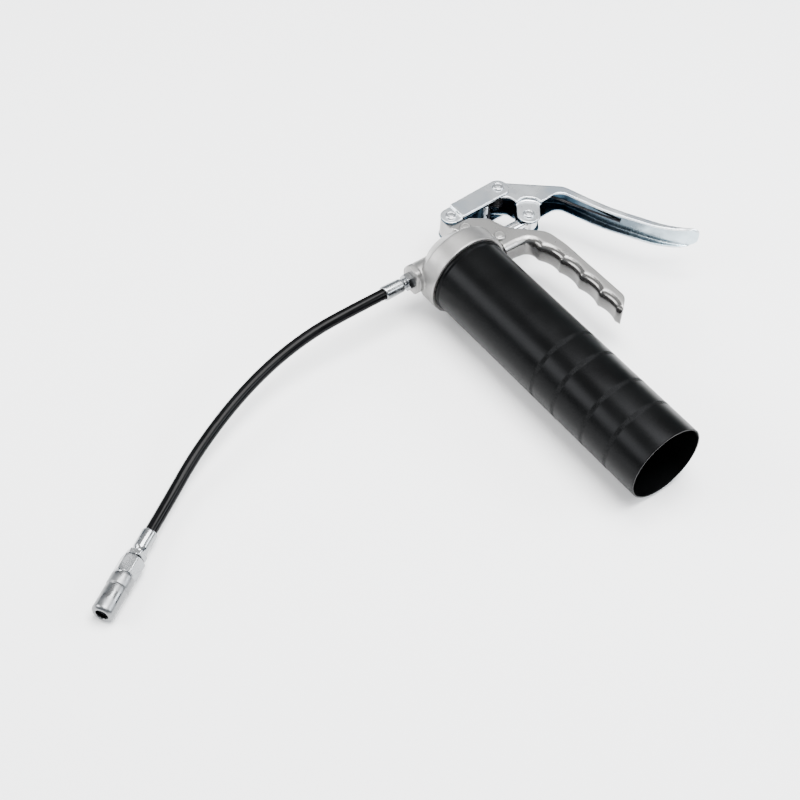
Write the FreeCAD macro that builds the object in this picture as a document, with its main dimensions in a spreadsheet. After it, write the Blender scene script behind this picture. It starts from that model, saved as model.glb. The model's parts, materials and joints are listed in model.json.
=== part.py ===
import FreeCAD, Part
import math
import os

import Sketcher

# Squeeze-lever grease gun. Millimetres. The origin is on the barrel's axis at the mouth of the head's
# socket, +X runs along the barrel to its open end, +Y to the lever, and +Z is up as the gun lies.

doc = FreeCAD.newDocument("grease_gun")
sheet = doc.addObject("Spreadsheet::Sheet", "dims")

DIMENSIONS = [
    # barrel
    ("barrel_radius", 28.5, "outside radius of the barrel tube"),
    ("barrel_wall", 1.2, "wall of the barrel tube"),
    ("barrel_length", 200, "barrel behind the head's socket"),
    ("barrel_entry", 9.5, "barrel inside the socket"),
    ("swage_radius", 29.3, "swaged ring that stops against the collar"),
    ("swage_start", 0.6, "gap between collar and swaged ring"),
    ("swage_width", 3, "width of the swaged ring"),
    ("band_depth", 0.3, "depth of a rolled band"),
    ("band_width", 4, "width of a rolled band"),
    # head
    ("head_radius", 31.5, "collar of the head"),
    ("collar_length", 14, "straight length of the collar"),
    ("nose_radius", 17, "front face of the head"),
    ("nose_reach", 27, "front face ahead of the socket's mouth"),
    ("socket_radius", 28.55, "socket that takes the barrel"),
    ("socket_depth", 12, "depth of the socket"),
    ("pump_offset", 18.5, "pump axis ahead of the socket's mouth"),
    ("boss_radius", 10, "pump boss across the head"),
    ("boss_top", 18, "top of the pump boss"),
    ("flange_face", 35.7, "outer face of the hose port flange"),
    ("flange_thickness", 4, "thickness of the port flange"),
    ("flange_width", 13, "port flange along the barrel"),
    ("flange_height", 20.5, "port flange across the barrel"),
    ("lug_half", 6.5, "half thickness of the head's lug"),
    ("lug_top", 40, "top of the head's lug"),
    # pump, measured along its own axis from the barrel's axis, positive to the lever
    ("rod_radius", 4, "piston rod"),
    ("rod_clearance", 0.05, "radial clearance of the rod in its bores"),
    ("rod_tip", 6, "inner end of the rod"),
    ("sleeve_radius", 4.95, "outside of the pump cylinder"),
    ("sleeve_low", -12, "inner end of the pump cylinder"),
    ("sleeve_high", 30, "upper end of the pump cylinder"),
    ("seat_low", -15, "lower face of the valve seat"),
    ("seat_bore", 2, "hole in the valve seat"),
    ("ball_radius", 3, "check ball"),
    ("chamber_radius", 3.6, "valve chamber"),
    ("chamber_low", -27.7, "end of the valve chamber"),
    ("gland_radius", 5.1, "threaded stem of the gland nut"),
    ("gland_low", 33, "lower end of the gland nut"),
    ("gland_head_radius", 6.2, "head of the gland nut"),
    ("gland_top", 44, "top of the gland nut"),
    ("inlet_radius", 2.5, "grease inlet from the barrel"),
    ("port_radius", 4.8, "threaded port"),
    ("passage_radius", 1.8, "grease passage in the fittings"),
    ("eye_radius", 6.8, "eye of the rod"),
    ("eye_half", 3.8, "half thickness of the eye"),
    ("eye_play", 0.7, "play of the pin along the eye's slot, each way"),
    # lever work
    ("pin_radius", 3, "all three pins"),
    ("pin_clearance", 0.07, "radial clearance where a part turns on its pin"),
    ("pin_head_radius", 4.2, "pin heads"),
    ("pin_head_height", 1.5, "pin heads"),
    ("base_pin_x", -45.7, "link pivot on the grip"),
    ("base_pin_y", 20, "link pivot on the grip"),
    ("fulcrum_x", -48.5, "pivot between link and lever"),
    ("fulcrum_y", 64.9, "pivot between link and lever"),
    ("rod_pin_y", 69.2, "pin through the rod's eye"),
    ("lever_half", 9.2, "half width of the lever"),
    ("lever_sheet", 1.8, "sheet of the lever"),
    ("ear_inner", 4.6, "inner face of the lever's ears"),
    ("link_low_half", 7.2, "inner face of the link at the grip"),
    ("link_high_half", 9.4, "inner face of the link at the lever"),
    ("link_sheet", 2, "sheet of the link"),
    ("spring_wire", 0.85, "radius of the return spring's wire"),
    ("spring_coil", 4.4, "mean radius of the return spring"),
    ("peg_radius", 2.2, "spring peg"),
    # grip
    ("grip_half", 8.8, "half width of the grip and its cheeks"),
    ("cheek_gap", 6.6, "inner face of the cheeks"),
    ("front_lug_half", 7, "half thickness of the grip's front lug"),
    ("channel_half", 6.4, "half width of the grip's channel"),
    ("rivet_radius", 2.5, "rivet shank"),
    ("rivet_head_radius", 4.4, "rivet head"),
    ("rivet_head_height", 2.3, "rivet head"),
    # hose and its fittings, lengths along their own axis
    ("hose_radius", 4, "hose"),
    ("adapter_flats", 11, "hexagon of the hose adapter, across flats"),
    ("adapter_hex_length", 5.3, "hexagon of the hose adapter"),
    ("ferrule_radius", 5.2, "crimped ferrule"),
    ("ferrule_length", 18, "crimped ferrule"),
    ("collar_nut_flats", 12, "hexagon at the coupler's end of the hose"),
    ("collar_nut_length", 5, "hexagon at the coupler's end of the hose"),
    ("coupler_flats", 14, "hexagon of the coupler"),
    ("coupler_hex_length", 14, "hexagon of the coupler"),
    ("sleeve_ring_radius", 7.6, "rear ring of the coupler's sleeve"),
    ("sleeve_ring_length", 9, "rear ring of the coupler's sleeve"),
    ("sleeve_body_radius", 7.3, "front of the coupler's sleeve"),
    ("sleeve_body_length", 20, "front of the coupler's sleeve"),
    ("sleeve_bore", 5.4, "bore of the coupler's sleeve"),
    ("mouth_radius", 4.1, "mouth of the coupler"),
    ("mouth_length", 4, "lip round the coupler's mouth"),
    ("jaw_radius", 5.1, "outside of the jaws"),
    ("jaw_bore", 3.3, "grip of the jaws"),
]

for row, (alias, size, note) in enumerate(DIMENSIONS, start=1):
    sheet.set(f"A{row}", alias)
    sheet.set(f"B{row}", str(size))
    sheet.set(f"C{row}", note)
    sheet.setAlias(f"B{row}", alias)
doc.recompute()

size = {alias: float(sheet.get(alias)) for alias, _, _ in DIMENSIONS}
NODES = []


# ---------------------------------------------------------------- helpers

def vector(x=0.0, y=0.0, z=0.0):
    return FreeCAD.Vector(x, y, z)


def amount(words):
    """Value of a sum such as "lug_top - rod_tip + 2": aliases and numbers joined by + and -."""
    total, sign = 0.0, 1.0
    for word in words.split():
        if word in "+-":
            sign = 1.0 if word == "+" else -1.0
            continue
        total += sign * (size[word] if word in size else float(word))
        sign = 1.0
    return total


def formula(words):
    """The same sum as an expression on the sheet."""
    return " ".join(f"dims.{word}" if word in size else word for word in words.split())


def node(item, name):
    """Name a finished sub-part and list it for export."""
    item.Label = name
    NODES.append(item)
    return item


def new_body(name):
    return doc.addObject("PartDesign::Body", name)


def sketch_in(body, name, role="XY_Plane", origin=None):
    """A sketch on one of the body's origin planes, with its own origin moved within that plane."""
    sketch = body.newObject("Sketcher::SketchObject", name)
    plane = [item for item in body.Origin.OriginFeatures if item.Role == role][0]
    sketch.AttachmentSupport = [(plane, "")]
    sketch.MapMode = "FlatFace"
    if origin:
        sketch.AttachmentOffset = FreeCAD.Placement(vector(*origin), FreeCAD.Rotation())
    return sketch


def draw_profile(sketch, corners):
    """Closed profile whose corners are sums on the sheet, each corner held by two constraints."""
    count = len(corners)
    spots = [vector(amount(x), amount(y)) for x, y in corners]
    for place in range(count):
        sketch.addGeometry(Part.LineSegment(spots[place], spots[(place + 1) % count]), False)
    for place in range(count):
        sketch.addConstraint(Sketcher.Constraint("Coincident", place, 2, (place + 1) % count, 1))
    for place, (x, y) in enumerate(corners):
        for kind, words, axis in (("DistanceX", x, -2), ("DistanceY", y, -1)):
            if abs(amount(words)) < 1e-9:
                sketch.addConstraint(Sketcher.Constraint("PointOnObject", place, 1, axis))
                continue
            held = sketch.addConstraint(
                Sketcher.Constraint(kind, -1, 1, place, 1, amount(words)))
            sketch.setExpression(f"Constraints[{held}]", formula(words))


def rounded(corners):
    """Edges of a closed outline of (x, y, radius) corners, each corner rounded by a tangent arc."""
    count = len(corners)
    joins = []
    for place, (x, y, radius) in enumerate(corners):
        here = vector(x, y)
        back = vector(*corners[place - 1][:2]) - here
        ahead = vector(*corners[(place + 1) % count][:2]) - here
        back.normalize()
        ahead.normalize()
        if radius <= 0:
            joins.append((here, None, here))
            continue
        half = back.getAngle(ahead) / 2
        reach = radius / math.tan(half)
        middle = back + ahead
        middle.normalize()
        deep = radius / math.sin(half) - radius
        joins.append((here + back * reach, here + middle * deep, here + ahead * reach))
    edges = []
    for place, (start, bulge, end) in enumerate(joins):
        if bulge is not None:
            edges.append(Part.Arc(start, bulge, end))
        following = joins[(place + 1) % count][0]
        if (following - end).Length > 1e-6:
            edges.append(Part.LineSegment(end, following))
    return edges


def draw_outline(sketch, corners):
    for edge in rounded(corners):
        sketch.addGeometry(edge, False)


def feature(body, kind, sketch, name, length=None, symmetric=False, reverse=False):
    """A pad or pocket of a length given as a sum on the sheet."""
    made = body.newObject(f"PartDesign::{kind}", name)
    made.Profile = sketch
    made.SideType = "Symmetric" if symmetric else "One side"
    made.Reversed = reverse
    made.Length = amount(length)
    made.setExpression("Length", formula(length))
    sketch.Visibility = False
    doc.recompute()
    return made


def cut(body, sketch, name, length, symmetric=True, reverse=False):
    """A pocket that has to take material away."""
    before = body.Shape.Volume
    made = feature(body, "Pocket", sketch, name, length, symmetric, reverse)
    if body.Shape.Volume > before - 1e-6:
        raise RuntimeError(f"pocket {name} cuts nothing")
    return made


def plate(name, corners, length):
    """Body padded both ways from the XY plane."""
    body = new_body(name)
    sketch = sketch_in(body, f"{name}_outline")
    draw_outline(sketch, corners)
    feature(body, "Pad", sketch, f"{name}_pad", length, symmetric=True)
    return body


def drill(body, name, x, y, radius, length):
    """Round hole through the body along Z, its radius a sum on the sheet."""
    sketch = sketch_in(body, name)
    sketch.addGeometry(Part.Circle(vector(x, y), vector(0, 0, 1), amount(radius)), False)
    held = sketch.addConstraint(Sketcher.Constraint("Radius", 0, amount(radius)))
    sketch.setExpression(f"Constraints[{held}]", formula(radius))
    cut(body, sketch, f"{name}_cut", length)


def turned(name, profile, place=None):
    """Body of revolution about its own X axis, from a half profile of (along, radius) sums."""
    body = new_body(name)
    sketch = sketch_in(body, f"{name}_profile")
    draw_profile(sketch, profile)
    doc.recompute()
    spun = body.newObject("PartDesign::Revolution", f"{name}_turn")
    spun.Profile = sketch
    spun.ReferenceAxis = (sketch, ["H_Axis"])
    spun.Angle = 360
    doc.recompute()
    if place:
        body.Placement = place
    return body


def along_y(x, y=0.0, z=0.0):
    """Placement that turns a part's own X axis to +Y."""
    return FreeCAD.Placement(vector(x, y, z), FreeCAD.Rotation(vector(0, 0, 1), 90))


def against_y(x, y=0.0, z=0.0):
    """Placement that turns a part's own X axis to -Y."""
    return FreeCAD.Placement(vector(x, y, z), FreeCAD.Rotation(vector(0, 0, 1), -90))


def along_z(x, y, z=0.0):
    """Placement that turns a part's own X axis to +Z."""
    return FreeCAD.Placement(vector(x, y, z), FreeCAD.Rotation(vector(0, 1, 0), -90))


def hexagon(body, name, flats, start, length):
    """Hexagonal pad on a turned part, square to its axis, from start along that axis."""
    sketch = sketch_in(body, name, "YZ_Plane", (0, 0, amount(start)))
    radius = size[flats] / math.sqrt(3)
    spots = [vector(radius * math.cos(math.radians(60 * turn)), radius * math.sin(math.radians(60 * turn)))
             for turn in range(6)]
    for turn in range(6):
        sketch.addGeometry(Part.LineSegment(spots[turn], spots[(turn + 1) % 6]), False)
    return feature(body, "Pad", sketch, f"{name}_pad", length)


def bored(body, name, radius, start, length):
    """Round hole along a turned part's axis."""
    sketch = sketch_in(body, name, "YZ_Plane", (0, 0, amount(start)))
    sketch.addGeometry(Part.Circle(vector(0, 0), vector(0, 0, 1), amount(radius)), False)
    held = sketch.addConstraint(Sketcher.Constraint("Radius", 0, amount(radius)))
    sketch.setExpression(f"Constraints[{held}]", formula(radius))
    return cut(body, sketch, f"{name}_cut", length, symmetric=False, reverse=True)


def parallel(points, distance):
    """Open line of points moved sideways by distance, to the right of its direction."""
    lines = []
    for start, end in zip(points, points[1:]):
        run = vector(end[0] - start[0], end[1] - start[1])
        run.normalize()
        shift = vector(run.y, -run.x) * distance
        lines.append((vector(*start) + shift, run, vector(*end) + shift))
    moved = [lines[0][0]]
    for (base, run, _), (other, slope, _) in zip(lines, lines[1:]):
        gap = other - base
        cross = run.x * slope.y - run.y * slope.x
        moved.append(base + run * ((gap.x * slope.y - gap.y * slope.x) / cross))
    moved.append(lines[-1][2])
    return [(spot.x, spot.y) for spot in moved]


def coil(radius, wire, low, high, turns):
    """Solid helical spring about Z."""
    spine = Part.makeHelix((high - low) / turns, high - low, radius)
    spine.translate(vector(0, 0, low))
    section = Part.Wire(Part.makeCircle(wire, vector(radius, 0, low), vector(0, 1, 0)))
    return Part.Wire(spine.Edges).makePipeShell([section], True, True)


PUMP_X = -size["pump_offset"]
BASE_PIN = (size["base_pin_x"], size["base_pin_y"])
FULCRUM = (size["fulcrum_x"], size["fulcrum_y"])
ROD_PIN = (PUMP_X, size["rod_pin_y"])
RIVETS = [(-30.6, 21.0), (-10.7, 35.5)]
INLET_Y = 3.0


# ---------------------------------------------------------------- head

def build_head():
    body = turned("pump_head", [
        ("0 - socket_depth", "0"),
        ("0 - socket_depth", "socket_radius"),
        ("0", "socket_radius"),
        ("0", "head_radius"),
        ("0 - collar_length", "head_radius"),
        ("0 - nose_reach", "nose_radius"),
        ("0 - nose_reach", "0"),
    ])
    boss = sketch_in(body, "boss", "XZ_Plane", (0, 0, -size["boss_top"]))
    boss.addGeometry(Part.Circle(vector(PUMP_X, 0), vector(0, 0, 1), size["boss_radius"]), False)
    held = boss.addConstraint(Sketcher.Constraint("Radius", 0, size["boss_radius"]))
    boss.setExpression(f"Constraints[{held}]", "dims.boss_radius")
    feature(body, "Pad", boss, "boss_pad", "boss_top + flange_face - 1")

    lug = sketch_in(body, "lug")
    draw_outline(lug, [(-34.2, 13, 2), (-34.2, 26, 3), (-26.5, 38, 4), (-22, size["lug_top"], 2),
                       (-2.4, size["lug_top"], 2), (-2.4, 29.8, 0), (-10, 20, 0), (-22, 10, 0)])
    feature(body, "Pad", lug, "lug_pad", "lug_half + lug_half", symmetric=True)

    flange = sketch_in(body, "flange", "XZ_Plane", (0, 0, size["flange_face"]))
    wide, tall = size["flange_width"] / 2, size["flange_height"] / 2
    draw_outline(flange, [(PUMP_X - wide, -tall, 3), (PUMP_X + wide, -tall, 3),
                          (PUMP_X + wide, tall, 3), (PUMP_X - wide, tall, 3)])
    feature(body, "Pad", flange, "flange_pad", "flange_thickness", reverse=True)

    # the barrel's socket again, since the boss and the lug ran into it
    socket = sketch_in(body, "socket", "YZ_Plane", (0, 0, -size["socket_depth"]))
    socket.addGeometry(Part.Circle(vector(0, 0), vector(0, 0, 1), size["socket_radius"]), False)
    feature(body, "Pocket", socket, "socket_cut", "socket_depth + 5", reverse=True)

    # stepped bore along the pump's axis
    bore = sketch_in(body, "pump_bore", "XY_Plane", (PUMP_X, 0, 0))
    draw_profile(bore, [
        ("0", "0 - flange_face - 1"),
        ("port_radius", "0 - flange_face - 1"),
        ("port_radius", "chamber_low"),
        ("chamber_radius", "chamber_low"),
        ("chamber_radius", "seat_low"),
        ("sleeve_radius", "seat_low"),
        ("sleeve_radius", "sleeve_high"),
        ("gland_radius", "sleeve_high"),
        ("gland_radius", "lug_top + 1"),
        ("0", "lug_top + 1"),
    ])
    doc.recompute()
    before = body.Shape.Volume
    groove = body.newObject("PartDesign::Groove", "pump_bore_cut")
    groove.Profile = bore
    groove.ReferenceAxis = (bore, ["V_Axis"])
    groove.Angle = 360
    doc.recompute()
    if body.Shape.Volume > before - 1:
        raise RuntimeError("the pump bore cuts nothing")

    inlet = sketch_in(body, "inlet", "YZ_Plane", (0, 0, -size["socket_depth"] + 1))
    inlet.addGeometry(Part.Circle(vector(INLET_Y, 0), vector(0, 0, 1), size["inlet_radius"]), False)
    feature(body, "Pocket", inlet, "inlet_cut", "5")
    for place, (x, y) in enumerate(RIVETS):
        drill(body, f"head_rivet_{place}", x, y, "rivet_radius", "lug_half + lug_half + 2")
    node(body, "pump_head")


# ---------------------------------------------------------------- grip

def build_grip():
    body = plate("fixed_grip", [
        (-52.7, 13.0, 6.9), (-52.7, 27.0, 6.5), (-39.5, 27.0, 3), (-30.0, 41.0, 6),
        (-15.5, 46.0, 10), (3.5, 67.6, 14), (20.0, 70.2, 40), (81.5, 71.0, 9), (90.8, 60.6, 1.2),
        *FINGER_HOLLOWS, (3.2, 53.6, 6), (1.6, 43.0, 8), (1.6, 32.4, 1),
        (-14.2, 32.4, 2), (-28.0, 17.4, 5), (-35.0, 13.0, 5),
    ], "grip_half + grip_half")

    slot = sketch_in(body, "slot")
    draw_outline(slot, [(-34.5, 5, 0), (-34.5, 80, 0), (-1.6, 80, 0), (-1.6, 5, 0)])
    cut(body, slot, "slot_cut", "cheek_gap + cheek_gap")

    channel = sketch_in(body, "channel")
    draw_outline(channel, [(9.0, 80, 0), (12.5, 60, 3), (22, 64.9, 6), (77.5, 66.6, 3), (79.5, 80, 0)])
    cut(body, channel, "channel_cut", "channel_half + channel_half")

    for side, name in ((1, "lug_face_high"), (-1, "lug_face_low")):
        step = sketch_in(body, name, "XY_Plane", (0, 0, side * size["front_lug_half"]))
        draw_outline(step, [(-60, 5, 0), (-60, 45, 0), (-37.6, 45, 0), (-37.6, 5, 0)])
        cut(body, step, f"{name}_cut", "grip_half", symmetric=False, reverse=side > 0)
    drill(body, "base_pin_hole", *BASE_PIN, "pin_radius", "grip_half + grip_half")
    for place, (x, y) in enumerate(RIVETS):
        drill(body, f"grip_rivet_{place}", x, y, "rivet_radius", "grip_half + grip_half + 2")
    node(body, "fixed_grip")


def build_rivets():
    for name, (x, y) in zip(("front_rivet", "rear_rivet"), RIVETS):
        node(pin(name, (x, y), "grip_half", "rivet_radius", "rivet_head_radius",
                 "rivet_head_height", "1.4"), name)


# ---------------------------------------------------------------- lever work

def pin(name, spot, half, shank, head, height, bevel):
    """Headed pin along Z, its shank reaching half each way from the middle plane."""
    low = "0 - " + half.replace("+", "-")
    return turned(name, [
        (f"{low} - {height}", "0"),
        (f"{low} - {height}", f"{head} - {bevel}"),
        (f"{low} - {height} + {bevel}", head),
        (low, head),
        (low, shank),
        (half, shank),
        (half, head),
        (f"{half} + {height} - {bevel}", head),
        (f"{half} + {height}", f"{head} - {bevel}"),
        (f"{half} + {height}", "0"),
    ], along_z(*spot))


def build_pins():
    for name, spot, half in (
            ("base_pin", BASE_PIN, "link_low_half + link_sheet"),
            ("fulcrum_pin", FULCRUM, "link_high_half + link_sheet"),
            ("rod_pin", ROD_PIN, "ear_inner + lever_sheet")):
        node(pin(name, spot, half, "pin_radius", "pin_head_radius", "pin_head_height", "0.7"), name)


def build_link():
    body = plate("fulcrum_link", [
        (-52.9, 13.0, 6.9), (-38.5, 13.0, 6.9), (-40.6, 72.4, 7.4), (-56.2, 72.4, 7.4),
    ], "link_high_half + link_sheet + link_high_half + link_sheet")

    upper = sketch_in(body, "upper_gap")
    draw_outline(upper, [(-66, 27.4, 0), (-34, 27.4, 0), (-34, 80, 0), (-66, 80, 0), (-66, 54, 0),
                         (-53.2, 54, 1), (-52.0, 32, 1), (-66, 32, 0)])
    cut(body, upper, "upper_gap_cut", "link_high_half + link_high_half")
    lower = sketch_in(body, "lower_gap")
    draw_outline(lower, [(-66, 4, 0), (-34, 4, 0), (-34, 27.4, 0), (-66, 27.4, 0)])
    cut(body, lower, "lower_gap_cut", "link_low_half + link_low_half")

    # the ends at the grip are set in by the joggle
    for side, name in ((1, "joggle_high"), (-1, "joggle_low")):
        step = size["link_low_half"] + size["link_sheet"]
        joggle = sketch_in(body, name, "XY_Plane", (0, 0, side * step))
        draw_outline(joggle, [(-66, 4, 0), (-34, 4, 0), (-34, 25.4, 0), (-66, 25.4, 0)])
        cut(body, joggle, f"{name}_cut", "link_high_half", symmetric=False, reverse=side > 0)
    drill(body, "base_hole", *BASE_PIN, "pin_radius + pin_clearance", "link_high_half + link_high_half")
    drill(body, "fulcrum_hole", *FULCRUM, "pin_radius",
          "link_high_half + link_sheet + link_high_half + link_sheet + 2")
    node(body, "fulcrum_link")

    peg = turned("spring_peg", [
        ("0 - link_high_half", "0"),
        ("0 - link_high_half", "peg_radius"),
        ("4", "peg_radius"),
        ("5", "peg_radius - 1"),
        ("5", "0"),
    ], along_z(*PEG))
    node(peg, "spring_peg")


def from_rod_pin(along, across):
    """Point in the lever's plane, measured from the rod pin along the ears and across them."""
    return (ROD_PIN[0] + EAR_ALONG[0] * along + EAR_ACROSS[0] * across,
            ROD_PIN[1] + EAR_ALONG[1] * along + EAR_ACROSS[1] * across)


def build_lever():
    body = plate("lever", [
        (*LEVER_TOP[0], 7), (*LEVER_TOP[1], 14), (*LEVER_TOP[2], 150), (*LEVER_TOP[3], 70),
        (*LEVER_TOP[4], 0.4), (63.4, 159.4, 0.4), (52.1, 139.1, 60), (10.9, 114.5, 120),
        (-22.3, 101.5, 9), (-21.8, 82.3, 4), (-6.9, 70.7, 8), (-17.0, 57.5, 8),
        (-30.9, 68.3, 2.5), (-38.0, 66.9, 3), (-47.7, 52.9, 7.5),
    ], "lever_half + lever_half")

    # the sheet's inner face runs under the top web and is open below and at the front
    under = parallel([(-66.0, 57.1), *LEVER_TOP[1:4], (70.0, 169.8)], size["lever_sheet"])
    bends = [0, 12, 150, 70, 0]
    web = [(x, y, bend) for (x, y), bend in zip(under, bends)]

    gap = sketch_in(body, "ear_gap")
    draw_outline(gap, web + [(75, 130, 0), (20, 40, 0), (-60, 35, 0)])
    cut(body, gap, "ear_gap_cut", "ear_inner + ear_inner")

    # between the side walls, round the back of the ears' joggle
    width = "lever_half - lever_sheet"
    set_in = size["lever_sheet"]
    wide = sketch_in(body, "wall_gap")
    draw_outline(wide, web + [
        (75, 130, 0),
        (*from_rod_pin(20, EAR_WIDE + set_in), 0),
        (*from_rod_pin(-EAR_BACK - set_in, EAR_WIDE + set_in), EAR_ROUND + set_in),
        (*from_rod_pin(-EAR_BACK - set_in, -EAR_NARROW - set_in), EAR_ROUND + set_in),
        (*from_rod_pin(10, -EAR_NARROW - set_in), 0),
        (-60, 35, 0),
    ])
    cut(body, wide, "wall_gap_cut", f"{width} + {width}")

    for side, name in ((1, "ear_high"), (-1, "ear_low")):
        outer = size["ear_inner"] + size["lever_sheet"]
        ear = sketch_in(body, name, "XY_Plane", (0, 0, side * outer))
        draw_outline(ear, [
            (*from_rod_pin(20, EAR_WIDE), 0),
            (*from_rod_pin(-EAR_BACK, EAR_WIDE), EAR_ROUND),
            (*from_rod_pin(-EAR_BACK, -EAR_NARROW), EAR_ROUND),
            (*from_rod_pin(20, -EAR_NARROW), 0),
        ])
        cut(body, ear, f"{name}_cut", "lever_half", symmetric=False, reverse=side > 0)

    # thumb end rounded as seen from above
    tip = sketch_in(body, "tip", "XZ_Plane")
    half = size["lever_half"]
    draw_outline(tip, [(47, half, 0), (63.35, half, 8.2), (63.35, -half, 8.2), (47, -half, 0),
                       (47, -20, 0), (75, -20, 0), (75, 20, 0), (47, 20, 0)])
    cut(body, tip, "tip_cut", "400")
    drill(body, "fulcrum_hole", *FULCRUM, "pin_radius + pin_clearance", "lever_half + lever_half + 2")
    drill(body, "rod_hole", *ROD_PIN, "pin_radius", "lever_half + lever_half + 2")
    node(body, "lever")


def build_piston():
    body = turned("piston_rod", [
        ("rod_tip", "0"),
        ("rod_tip", "rod_radius - 0.5"),
        ("rod_tip + 0.5", "rod_radius"),
        ("rod_pin_y - 4.5", "rod_radius"),
        ("rod_pin_y - 4.5", "0"),
    ], along_y(PUMP_X))
    eye = sketch_in(body, "eye")
    eye.addGeometry(Part.Circle(vector(size["rod_pin_y"], 0), vector(0, 0, 1), size["eye_radius"]), False)
    feature(body, "Pad", eye, "eye_pad", "eye_half + eye_half", symmetric=True)
    slot = sketch_in(body, "eye_slot")
    high = size["pin_radius"] + 0.15
    wide = high + size["eye_play"]
    middle = size["rod_pin_y"]
    draw_outline(slot, [(middle - high, -wide, high - 0.01), (middle + high, -wide, high - 0.01),
                        (middle + high, wide, high - 0.01), (middle - high, wide, high - 0.01)])
    cut(body, slot, "eye_slot_cut", "eye_half + eye_half + 2")
    node(body, "piston_rod")


def build_return_spring():
    wire, radius, reach = size["spring_wire"], size["spring_coil"], 4.8
    start, finish = math.radians(LONG_LEG_ANGLE), math.radians(SHORT_LEG_ANGLE)
    turns = 5 + (SHORT_LEG_ANGLE - LONG_LEG_ANGLE) / 360
    helix = Part.makeHelix(2 * reach / turns, 2 * reach, radius, 0, True)
    helix.translate(vector(0, 0, -reach))
    helix.rotate(vector(), vector(0, 0, 1), SHORT_LEG_ANGLE)
    section = Part.makeCircle(wire, vector(radius, 0, -reach), vector(0, 1, 0))
    section.rotate(vector(), vector(0, 0, 1), SHORT_LEG_ANGLE)
    spring = Part.Wire(helix.Edges).makePipeShell([Part.Wire(section)], True, True)
    spring.translate(vector(*FULCRUM))

    on_coil = vector(FULCRUM[0] + radius * math.cos(start), FULCRUM[1] + radius * math.sin(start), reach)
    off_coil = vector(FULCRUM[0] + radius * math.cos(finish), FULCRUM[1] + radius * math.sin(finish),
                      -reach)
    legs = [(on_coil, vector(-28.5, 97.3, 2)), (vector(-28.5, 97.3, 2), vector(19.5, 123.9, 0)),
            (off_coil, off_coil + vector(-math.sin(finish), math.cos(finish)) * 17.5)]
    for base, end in legs:
        spring = spring.fuse(Part.makeCylinder(wire, (end - base).Length, base, end - base))
    spring = spring.fuse([Part.makeSphere(wire, spot) for spot in (on_coil, off_coil, legs[0][1])])
    item = doc.addObject("Part::Feature", "return_spring")
    item.Shape = spring.removeSplitter()
    node(item, "return_spring")


# ---------------------------------------------------------------- pump

def build_pump():
    cylinder = turned("pump_cylinder", [
        ("sleeve_low", "rod_radius + rod_clearance"),
        ("sleeve_low", "sleeve_radius"),
        ("sleeve_high", "sleeve_radius"),
        ("sleeve_high", "rod_radius + rod_clearance"),
    ], along_y(PUMP_X))
    inlet = sketch_in(cylinder, "cylinder_inlet", "XZ_Plane")
    inlet.addGeometry(Part.Circle(vector(INLET_Y, 0), vector(0, 0, 1), size["inlet_radius"]), False)
    cut(cylinder, inlet, "cylinder_inlet_cut", "sleeve_radius + 1", symmetric=False, reverse=True)
    node(cylinder, "pump_cylinder")

    node(turned("rod_seal", [
        ("sleeve_high", "rod_radius + rod_clearance"),
        ("sleeve_high", "gland_radius"),
        ("gland_low", "gland_radius"),
        ("gland_low", "rod_radius + rod_clearance"),
    ], along_y(PUMP_X)), "rod_seal")
    node(turned("gland_nut", [
        ("gland_low", "rod_radius + rod_clearance"),
        ("gland_low", "gland_radius"),
        ("lug_top", "gland_radius"),
        ("lug_top", "gland_head_radius"),
        ("gland_top - 0.6", "gland_head_radius"),
        ("gland_top", "gland_head_radius - 0.6"),
        ("gland_top", "rod_radius + rod_clearance"),
    ], along_y(PUMP_X)), "gland_nut")
    node(turned("valve_seat", [
        ("seat_low", "seat_bore"),
        ("seat_low", "sleeve_radius"),
        ("sleeve_low", "sleeve_radius"),
        ("sleeve_low", "seat_bore"),
    ], along_y(PUMP_X)), "valve_seat")

    ball = doc.addObject("Part::Sphere", "check_ball")
    ball.Radius = size["ball_radius"]
    ball.setExpression("Radius", "dims.ball_radius")
    ball.Placement = FreeCAD.Placement(vector(PUMP_X, BALL_Y, 0), FreeCAD.Rotation())
    node(ball, "check_ball")

    wire, radius = 0.35, 2.15
    top = math.sqrt((size["ball_radius"] + wire) ** 2 - radius ** 2) - BALL_Y + 0.02
    item = doc.addObject("Part::Feature", "check_spring")
    item.Shape = coil(radius, wire, top, -size["chamber_low"] - wire - 0.02, 5)
    item.Placement = FreeCAD.Placement(vector(PUMP_X, 0, 0), FreeCAD.Rotation(vector(1, 0, 0), 90))
    node(item, "check_spring")


def build_barrel():
    inner = "barrel_radius - barrel_wall"
    profile = [
        ("0 - barrel_entry", inner),
        ("0 - barrel_entry", "barrel_radius"),
        ("swage_start", "barrel_radius"),
        ("swage_start + 0.4", "swage_radius"),
        ("swage_start + swage_width - 0.4", "swage_radius"),
        ("swage_start + swage_width", "barrel_radius"),
    ]
    for band in BANDS:
        profile += [
            (f"{band}", "barrel_radius"),
            (f"{band} + band_depth", "barrel_radius - band_depth"),
            (f"{band} + band_width - band_depth", "barrel_radius - band_depth"),
            (f"{band} + band_width", "barrel_radius"),
        ]
    profile += [("barrel_length", "barrel_radius"), ("barrel_length", inner)]
    node(turned("barrel_tube", profile), "barrel_tube")
    node(turned("cartridge_seal", [
        ("0 - socket_depth", "22"),
        ("0 - socket_depth", "barrel_radius - 0.1"),
        ("0 - barrel_entry - 0.05", "barrel_radius - 0.1"),
        ("0 - barrel_entry - 0.05", "22"),
    ]), "cartridge_seal")


# ---------------------------------------------------------------- hose

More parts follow.
